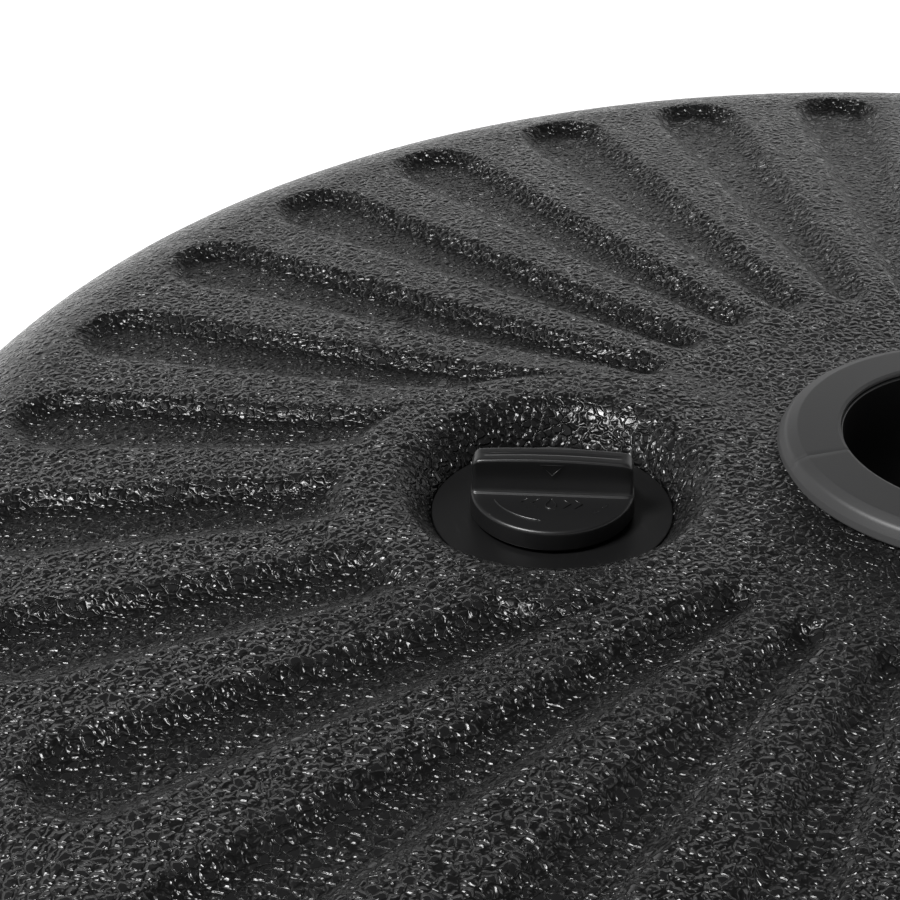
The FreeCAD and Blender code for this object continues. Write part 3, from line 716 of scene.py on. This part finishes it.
def wing():
    """Outlines from under the plate to the crowned top, each the same rounded oblong at its own width."""
    reach, height, corner, shoulder = 17.1, 8.4, 1.1, 1.9
    levels = [(-0.3, 0.75), (0.0, 0.7), (0.08, 0.35), (0.3, 0.1), (0.6, 0.0)]
    levels += [(0.6 + (height - 1.2) * part / 10, 0.0) for part in range(1, 11)]
    levels += [(height - 0.6 + 0.6 * math.sin(turn), 0.6 * (math.cos(turn) - 1))
               for turn in (0.35, 0.7, 1.05, 1.35, 1.5708)]
    spans = [part / 30 for part in range(1, 30)]
    loops = []
    for level, swell in levels + [(height, -1.2), (height, -1.9), (height, -2.3)]:
        waist = 0.4 * math.sin(math.pi * min(1, max(0, level / height))) ** 1.5
        half = 2.75 - waist + swell
        end = reach + min(swell, 0.0)
        bend = max(0.1, min(corner, half * 0.9))
        loop = []
        for sx, sy in ((1, 1), (-1, 1), (-1, -1), (1, -1)):
            turns = [math.pi / 2 * part / 6 for part in range(7)]
            bow = [Vector((end - bend + bend * math.cos(turn), half - bend + bend * math.sin(turn))) for turn in turns]
            if sx * sy < 0:
                bow.reverse()
            loop += [Vector((sx * spot.x, sy * spot.y, level)) for spot in bow]
            straight = end - bend
            if sy == 1 and sx == 1:
                loop += [Vector((straight * (1 - 2 * part), half, level)) for part in spans]
            if sy == -1 and sx == -1:
                loop += [Vector((straight * (2 * part - 1), -half, level)) for part in spans]
        for spot in loop:
            across = abs(spot.x)
            drop = 0.7 * (across / reach) ** 2
            if across > reach - shoulder:
                drop += shoulder - math.sqrt(max(0.0, shoulder ** 2 - (across - reach + shoulder) ** 2))
            spot.z = PLATE + (spot.z * (height - drop) / height if spot.z > 0 else spot.z)
        loops.append(loop)
    return stacked(loops)


def bead(path, width=0.55, height=0.32, looped=False, level=PLATE):
    """A half-round raised line along a path of plan points."""
    points, faces, rings = [], [], []
    count = len(path)
    for index, spot in enumerate(path):
        before = path[index - 1] if index or looped else spot
        after = path[(index + 1) % count] if index < count - 1 or looped else spot
        way = (Vector(after) - Vector(before)).normalized()
        side = Vector((-way.y, way.x))
        taper = 1.0 if looped or 0 < index < count - 1 else 0.3
        ring = []
        for across, up in ((-1, -0.6), (-0.9, 0.25), (-0.4, 0.9), (0.4, 0.9), (0.9, 0.25), (1, -0.6)):
            ring.append(len(points))
            offset = Vector(spot) + side * across * width / 2 * taper
            points.append(Vector((*offset, level + up * height * taper)))
        rings.append(ring)
    for one, two in list(zip(rings, rings[1:])) + ([(rings[-1], rings[0])] if looped else []):
        bridge(faces, two, one)
    if not looped:
        faces += [tuple(rings[0][::-1]), tuple(rings[-1])]
    return points, faces


def arc(radius, first, last, count=24, middle=(0, 0)):
    turns = [math.radians(first + (last - first) * part / count) for part in range(count + 1)]
    return [Vector(middle) + radius * Vector((math.cos(turn), math.sin(turn))) for turn in turns]


def marks():
    """Raised marks on the near half of the plate: a turning arc, dashes, and a drop between two arrows."""
    made = [bead(arc(13.2, 205, 262)), bead(arc(13.2, 312, 321, 6)), bead(arc(13.2, 325, 334, 6))]
    drop = [(0.0, -4.3), (0.55, -5.6), (1.0, -6.5), (1.15, -7.2), (0.95, -7.9), (0.45, -8.35), (0.0, -8.45),
            (-0.45, -8.35), (-0.95, -7.9), (-1.15, -7.2), (-1.0, -6.5), (-0.55, -5.6)]
    made.append(bead([Vector(spot) for spot in drop], 0.5, 0.3, True))
    for side in (-1, 1):
        for start in (2.6, 5.0):
            hook = [(side * start, -4.6), (side * (start + 1.5), -6.4), (side * start, -8.2)]
            made.append(bead([Vector(spot) for spot in hook], 0.5, 0.3))
    # a small pointer on the wing's face, set upright against it
    corners = [Vector((-2.4, 7.1)), Vector((2.4, 7.1)), Vector((0.0, 4.4))]
    points, faces = bead(corners[::-1], 0.45, 0.3, True, 0.0)
    made.append(([Vector((spot.x, -2.42 - spot.z, PLATE + spot.y)) for spot in points], faces))
    return made


plug_section = soften([
    (0, 65.895, 0), (9.3, 65.895, 0.6), (9.3, 48.995, 0.3), (11.3, 48.995, 0.5), (11.3, 64.895, 0),
    (16.2, 64.895, 0), (16.2, 63.795, 0.3), (17.6, 63.795, 0.35), (17.5, PLATE, 0.8), (0, PLATE, 0)], 6, False)
cap_forms = [turned(plug_section, 192, False), thread(11.3, 51.0, 8.0), moved(wing(), turn=CAP_TURN)]
cap_forms += [moved(mark, turn=CAP_TURN) for mark in marks()]
cap = moulding("Filler_cap", *[moved(form, (FILLER, 0, 0)) for form in cap_forms])
place(cap, "cap", "cap_plastic", CAP, "filler_cap")

# %% [markdown]
# ## The pole socket
#
# A tube goes right through the tank. Its flange sits on the crown under the collar, and a ring nut with
# finger notches pulls it down from below against a rubber washer. The collar is a separate dress ring
# with a smooth satin face. A fine groove runs across its shoulder where the two halves of its mould meet.

# %% Tube, collar, nut and washer
SEAT = 71.328 - SEAT_DROP
tube_section = soften([
    (22.0, 5.0, 0.5), (33.3, 5.0, 0.8), (33.3, SEAT, 0), (38.8, SEAT, 0.3), (38.8, SEAT + 2.2, 0.4),
    (33.3, SEAT + 2.2, 0), (33.3, 73.9, 0.3), (30.3, 73.9, 0.5), (30.3, 8.0, 0.6), (22.0, 8.0, 0.5)])
tube = moulding("Socket_tube", turned(tube_section, 256), thread(33.3, 8.2, 12.5))
place(tube, "base", "smooth_plastic", SMOOTH, "socket_tube")

low = 71.247 - SEAT_DROP
collar_section = soften([
    (39.2, low, 0.2), (44.5, low, 0.3), (43.9, low + 1.6, 1.2), (42.7, low + 3.5, 2.0), (40.2, low + 4.5, 1.6),
    (31.6, low + 4.95, 0.35), (30.9, low + 4.75, 0.3), (30.7, low + 3.9, 0.2), (33.5, low + 3.9, 0.1),
    (33.5, low + 2.6, 0.1), (39.2, low + 2.6, 0.2)], 6)


def parting_line(form, count, column, depth=0.08):
    """A fine groove down one column of a turned form, with the columns beside it drawn in close."""
    points, faces = form
    for index, point in enumerate(points):
        beside = index % count - column
        if abs(beside) == 1:
            point.rotate(Quaternion((0, 0, 1), math.radians(-0.9 * beside)))
        elif beside == 0:
            inward = Vector((37.5 - point.xy.length, low + 2.6 - point.z)).normalized() * depth
            across = point.xy.normalized() * inward.x
            point += Vector((*across, inward.y))
    return points, faces


collar = moulding("Collar", parting_line(turned(collar_section, 288), 288, 148, 0.14))
place(collar, "base", "satin_plastic", SATIN, "collar")


def notched_nut():
    """The nut's outline, with eight round notches, carried up through its softened edges."""
    loops, count = [], 480
    outline = []
    for index in range(count):
        turn = 2 * math.pi * index / count
        fold = abs((turn + math.pi / 8) % (math.pi / 4) - math.pi / 8)
        middle = 46.0 + 5.0 / 3
        aside = middle * math.sin(fold)
        notch = middle * math.cos(fold) - math.sqrt(25.0 - aside ** 2) if aside < 5.0 else 46.0
        outline.append((turn, min(46.0, notch)))
    rounding = ((9.2, 0.9), (9.35, 0.4), (9.7, 0.1), (10.2, 0.0), (18.4, 0.0), (18.8, 0.1), (19.1, 0.4), (19.2, 0.9))
    for up, inset in rounding:
        loops.append([Vector(((reach - inset) * math.cos(turn), (reach - inset) * math.sin(turn), up))
                      for turn, reach in outline])
    for up, reach in ((19.2, 35.4), (18.8, 35.0), (9.6, 35.0), (9.2, 35.4)):
        loops.append([Vector((reach * math.cos(turn), reach * math.sin(turn), up)) for turn, _ in outline])
    points, faces = [], []
    for loop in loops:
        points += loop
    rings = [list(range(level * count, (level + 1) * count)) for level in range(len(loops))]
    for one, two in zip(rings, rings[1:] + rings[:1]):
        bridge(faces, one, two)
    return points, faces


nut = moulding("Socket_nut", notched_nut(), thread(35.0, 11.0, 5.5, inward=True))
place(nut, "base", "smooth_plastic", SMOOTH, "socket_nut")

washer_section = soften([(35.0, 19.2, 0.3), (48.0, 19.2, 0.5), (48.0, 21.0, 0.5), (35.0, 21.0, 0.3)])
washer = moulding("Nut_washer", turned(washer_section, 192))
place(washer, "base", "rubber", RUBBER, "nut_washer")

# %% [markdown]
# Six rubber pads are let into the standing ring. They are all the same, so one pad is turned and the tree
# sets copies of it on their circle.

# %% Foot pads
def pads_tree():
    tree, given, result = press("Pads on a circle", [("Pads", "Int"), ("Circle", "Float"), ("Material", "Material")])
    size = {socket.name: socket for socket in given.outputs}
    ring = tree.nodes.new("GeometryNodeMeshCircle")
    tree.links.new(size["Pads"], ring.inputs["Vertices"])
    tree.links.new(sums(tree)("MULTIPLY", size["Circle"], MM), ring.inputs["Radius"])
    copies = tree.nodes.new("GeometryNodeInstanceOnPoints")
    tree.links.new(ring.outputs[0], copies.inputs["Points"])
    tree.links.new(given.outputs["Geometry"], copies.inputs["Instance"])
    finish_tree(tree, copies.outputs[0], given, result)
    return tree


pad_section = soften([
    (0, 0.35, 0), (4.2, 0.35, 0.2), (4.6, 0.0, 0.2), (11.0, 0.0, 0.7), (11.0, 3.5, 0.4), (0, 3.5, 0)], 4, False)
pads = moulding("Foot_pads", turned(pad_section, 64, False))
run(pads, pads_tree(), Pads=6, Circle=233.0, Material=RUBBER)
place(pads, "base", "rubber", RUBBER, *["foot_pad_%d" % number for number in range(1, 7)])

# %% [markdown]
# ## Floor, light and camera
#
# The base stands on a plain pale floor in a white studio. A round backdrop glows low down and darkens
# upwards, so its reflection is bright on the far crown and fades towards the viewer. One soft panel
# overhead, to the left, catches the grain's edges.

# %% Studio
def plain(name, colour, roughness):
    """A pale, slightly uneven studio surface."""
    material = bpy.data.materials.new(name)
    material.use_nodes = True
    tree = material.node_tree
    shader = tree.nodes["Principled BSDF"]
    shader.inputs["Roughness"].default_value = roughness
    shader.inputs["Emission Color"].default_value = (1.0, 1.0, 1.0, 1.0)
    shader.inputs["Emission Strength"].default_value = 0.4
    spread = noise(tree, tree.nodes.new("ShaderNodeTexCoord").outputs["Object"], 3.0).outputs["Fac"]
    tone = tree.nodes.new("ShaderNodeMix")
    tone.data_type = "RGBA"
    tone.inputs["A"].default_value = (*colour, 1.0)
    tone.inputs["B"].default_value = (*(0.97 * part for part in colour), 1.0)
    tree.links.new(spread, tone.inputs["Factor"])
    tree.links.new(tone.outputs["Result"], shader.inputs["Base Color"])
    # it is seen from above only, so that the underside of the base can be looked at from below
    clear = tree.nodes.new("ShaderNodeBsdfTransparent")
    either = tree.nodes.new("ShaderNodeMixShader")
    side = tree.nodes.new("ShaderNodeNewGeometry").outputs["Backfacing"]
    for source, socket in zip((side, shader.outputs[0], clear.outputs[0]), either.inputs):
        tree.links.new(source, socket)
    tree.links.new(either.outputs[0], tree.nodes["Material Output"].inputs["Surface"])
    return material


def panel(name, position, aim, wide, tall, power):
    """A soft box that faces the aim."""
    light = bpy.data.lights.new(name, "AREA")
    light.shape = "RECTANGLE"
    light.size, light.size_y, light.energy = wide, tall, power
    lamp = bpy.data.objects.new(name, light)
    bpy.context.scene.collection.objects.link(lamp)
    lamp.location = position
    lamp.rotation_mode = "QUATERNION"
    lamp.rotation_quaternion = (Vector(aim) - Vector(position)).to_track_quat("-Z", "Y")
    return lamp


floor_mesh = bpy.data.meshes.new("Floor")
floor_mesh.from_pydata([(-8, -8, 0), (8, -8, 0), (8, 8, 0), (-8, 8, 0)], [], [(0, 1, 2, 3)])
floor = bpy.data.objects.new("Floor", floor_mesh)
bpy.context.scene.collection.objects.link(floor)
floor.data.materials.append(plain("Pale floor", (0.9, 0.9, 0.9), 0.8))

panel("Overhead panel", (-0.85, -0.25, 1.5), (-0.05, 0, 0.05), 0.55, 0.5, 36.0)

# a round white backdrop that glows near the floor and fades towards the dark ceiling
backdrop = moulding("Backdrop", turned([(3000.0, 0.0), (3000.0, 2300.0)], 96, False))
glow = bpy.data.materials.new("Backdrop")
glow.use_nodes = True
cloth = glow.node_tree
cloth.nodes["Principled BSDF"].inputs["Base Color"].default_value = (0.0, 0.0, 0.0, 1.0)
cloth.nodes["Principled BSDF"].inputs["Emission Color"].default_value = (1.0, 1.0, 1.0, 1.0)
up = cloth.nodes.new("ShaderNodeSeparateXYZ")
cloth.links.new(cloth.nodes.new("ShaderNodeTexCoord").outputs["Object"], up.inputs[0])
cloth.links.new(ease(cloth, up.outputs["Z"], 0.6, 1.6, 1.1, 0.02), cloth.nodes["Principled BSDF"].inputs["Emission Strength"])
backdrop.data.materials.append(glow)

world = bpy.data.worlds.new("Studio")
world.use_nodes = True
world.node_tree.nodes["Background"].inputs["Color"].default_value = (1.0, 1.0, 1.0, 1.0)
world.node_tree.nodes["Background"].inputs["Strength"].default_value = 0.06
bpy.context.scene.world = world
bpy.context.scene.view_settings.view_transform = "Standard"

camera_data = bpy.data.cameras.new("Camera")
camera_data.lens, camera_data.sensor_width = 80.925, 36.0
camera_data.clip_start, camera_data.clip_end = 0.01, 50.0
camera = bpy.data.objects.new("Camera", camera_data)
bpy.context.scene.collection.objects.link(camera)
camera.location = (-0.147694, -0.362134, 0.296259)
ahead = Vector((-0.11323, 0.0285, 0.0621)) - camera.location
camera.rotation_mode = "QUATERNION"
camera.rotation_quaternion = ahead.to_track_quat("-Z", "Y") @ Quaternion((0, 0, 1), -0.0152)
bpy.context.scene.camera = camera
